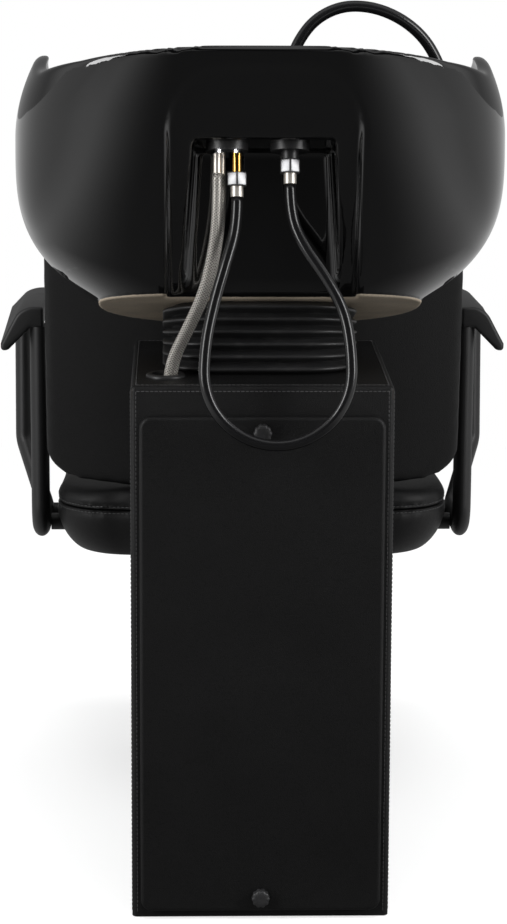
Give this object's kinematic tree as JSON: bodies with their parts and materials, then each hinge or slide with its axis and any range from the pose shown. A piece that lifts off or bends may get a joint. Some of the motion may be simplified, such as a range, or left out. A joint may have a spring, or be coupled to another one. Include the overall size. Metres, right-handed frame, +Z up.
{
  "type": "backwash unit",
  "caption": "Salon backwash unit: upholstered armchair on a plinth with a tilting ceramic wash basin on a pedestal, mixer, spray hose and rear access panel.",
  "frame": {"origin": "on the floor, at the centre of the four anchor holes of the pedestal's floor plate", "axes": "+Z up, +Y the way the seated client faces, +X to the right of someone standing behind the basin"},
  "size_m": [0.652, 0.9585, 1.0691],
  "materials": {
    "steel": "black powder coat",
    "vinyl": "black upholstery vinyl with a fine grain",
    "arm_plastic": "matte black moulded polyurethane",
    "zinc": "zinc plated",
    "black_plastic": "matte black",
    "grey_plastic": "grey waste pipe",
    "braid": "stainless steel braid",
    "chrome": "polished chrome plate",
    "ferrule": "satin crimped ferrule",
    "rubber": "black rubber, slight sheen",
    "ceramic": "gloss black glaze, bare foot",
    "gel": "soft black gel",
    "brass": "bare brass",
    "hose": "gloss black plastic hose",
    "black_gloss": "gloss black",
    "screw_plastic": "dark grey moulded"
  },
  "bodies": {
    "base": {"floor_plate": "steel", "pedestal_frame": "steel", "pedestal_left_board": "vinyl", "pedestal_right_board": "vinyl", "pedestal_front_board": "vinyl", "pedestal_top_board": "vinyl", "pedestal_rear_board": "vinyl", "hose_grommet": "black_plastic", "plinth_left_board": "vinyl", "plinth_right_board": "vinyl", "plinth_front_board": "vinyl", "seat_frame": "steel", "seat_pan": "vinyl", "seat_cushion": "vinyl", "back_board": "vinyl", "back_cushion": "vinyl", "back_straps": "steel", "arm_loop_left": "arm_plastic", "arm_loop_right": "arm_plastic", "arm_pad_left": "arm_plastic", "arm_pad_right": "arm_plastic", "arm_bolts": "zinc", "arm_spacers": "arm_plastic", "panel_inserts": "zinc", "waste_hose": "rubber", "waste_outlet": "grey_plastic", "hot_hose": "braid", "cold_hose": "braid", "supply_nuts": "chrome", "lower_bracket": "steel", "hinge_pins": "zinc", "base_bolts": "zinc", "rubber_bellows": "rubber", "bellows_base_ring": "steel"},
    "basin": {"basin": "ceramic", "neck_rest": "gel", "upper_bracket": "steel", "bracket_bolts": "zinc", "hinge_bushes": "black_plastic", "bellows_top_ring": "steel", "waste_flange": "chrome", "waste_nut": "grey_plastic", "mixer_body": "chrome", "deck_backnuts": "black_plastic", "mixer_outlet_tube": "brass", "link_hose": "hose", "hose_nuts": "chrome", "link_hose_ferrules": "ferrule", "spray_outlet": "black_plastic", "spray_hose": "hose", "supply_tails": "chrome"},
    "handset": {"handset": "black_gloss", "handset_face": "black_plastic", "handset_nut": "chrome"},
    "mixer_cap": {"mixer_cap": "chrome"},
    "mixer_lever": {"mixer_lever": "chrome"},
    "hair_strainer": {"hair_strainer": "chrome"},
    "access_panel": {"access_panel": "vinyl"},
    "upper_thumb_screw": {"upper_thumb_screw": "screw_plastic"},
    "lower_thumb_screw": {"lower_thumb_screw": "screw_plastic"}
  },
  "joints": [
    {"name": "basin_tilt", "type": "hinge", "parent": "base", "child": "basin", "pos_m": [0, 0.014, 0.665], "axis": [1, 0, 0], "range_deg": [-1.5, 12], "deforming": ["rubber_bellows", "hot_hose", "cold_hose", "waste_hose"]},
    {"name": "mixer_swivel", "type": "hinge", "parent": "basin", "child": "mixer_cap", "pos_m": [-0.041, -0.13338, 0.96427], "axis": [0, 0.2672, 0.9636], "range_deg": [-45, 45]},
    {"name": "mixer_lift", "type": "hinge", "parent": "mixer_cap", "child": "mixer_lever", "pos_m": [-0.041, -0.13764, 0.96389], "axis": [1, 0, 0], "range_deg": [0, 22]},
    {"name": "handset_lift", "type": "slide", "parent": "basin", "child": "handset", "axis": [0, 0.2672, 0.9636], "range_m": [0, 0.08], "deforming": ["spray_hose"]},
    {"name": "strainer_lift", "type": "slide", "parent": "basin", "child": "hair_strainer", "axis": [0, 0.2672, 0.9636], "range_m": [0, 0.05]},
    {"name": "panel_slide", "type": "slide", "parent": "base", "child": "access_panel", "axis": [0, -1, 0], "range_m": [0, 0.012]},
    {"name": "upper_screw_turn", "type": "hinge", "parent": "access_panel", "child": "upper_thumb_screw", "pos_m": [0, -0.179, 0.584], "axis": [0, 1, 0], "continuous": true},
    {"name": "lower_screw_turn", "type": "hinge", "parent": "access_panel", "child": "lower_thumb_screw", "pos_m": [0, -0.179, 0.028], "axis": [0, 1, 0], "continuous": true}
  ]
}
